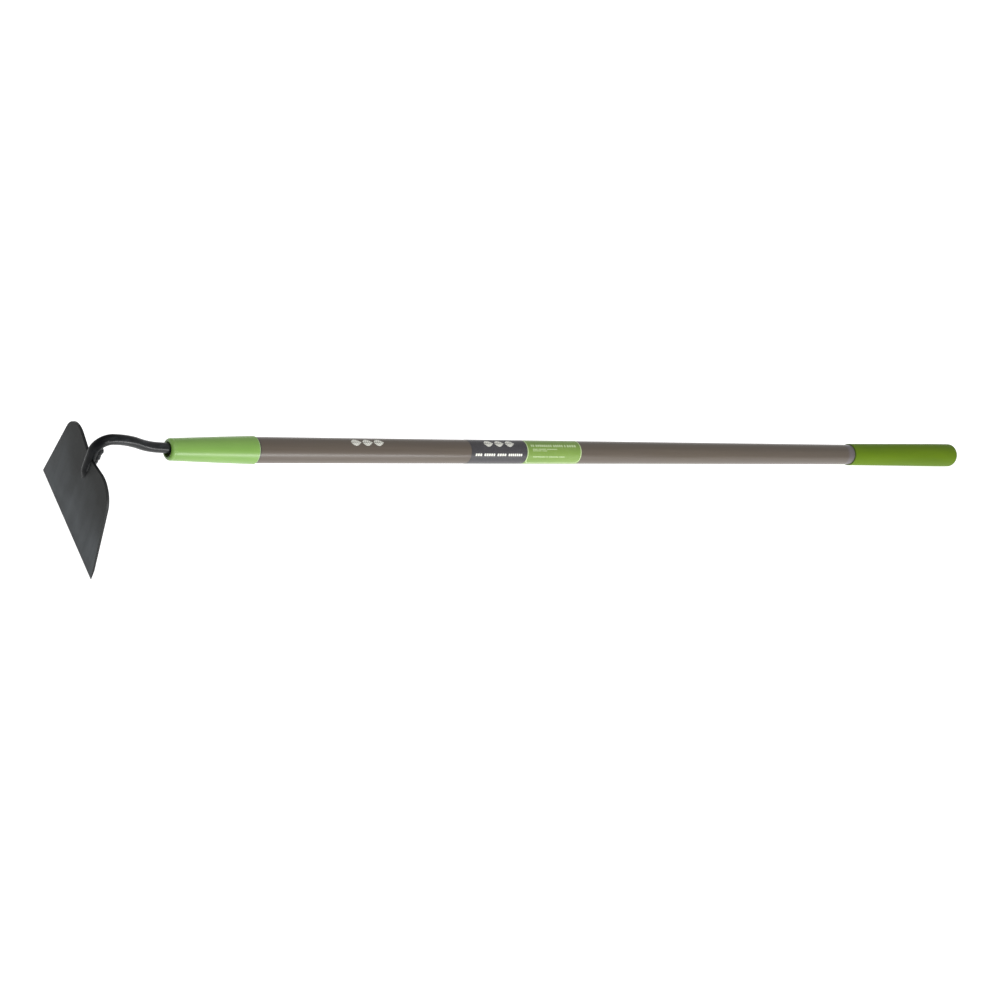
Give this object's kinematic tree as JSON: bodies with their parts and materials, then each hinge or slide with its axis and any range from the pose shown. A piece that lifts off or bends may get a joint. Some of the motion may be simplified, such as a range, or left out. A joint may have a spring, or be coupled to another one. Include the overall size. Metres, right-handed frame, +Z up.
{
  "type": "garden hoe",
  "caption": "Long-handled garden hoe with a goose-neck shank, a dark steel blade, a green ferrule, a coated wooden handle and an olive end grip.",
  "frame": {"origin": "bottom centre of the bounding box; the hoe lies on the ground on its cutting edge and its butt", "axes": "+X from the head towards the end grip, +Z up, the blade centred on Y = 0"},
  "size_m": [1.4728, 0.162, 0.1413],
  "materials": {
    "blade_steel": "satin",
    "shank_steel": "semi-gloss",
    "weld_steel": "satin",
    "ferrule_paint": "gloss",
    "core_wood": "turned",
    "coat_taupe": "satin",
    "grip_olive": "matte",
    "label_slate": "printed film",
    "label_leaf_green": "printed film",
    "emblem_ink": "printed"
  },
  "bodies": {
    "root": {"blade": "blade_steel", "shank": "shank_steel", "front_weld": "weld_steel", "back_weld": "weld_steel", "ferrule": "ferrule_paint", "handle_core": "core_wood", "handle_coat": "coat_taupe", "end_grip": "grip_olive", "label_dark": "label_slate", "label_green": "label_leaf_green", "top_emblem": "emblem_ink"}
  },
  "joints": []
}
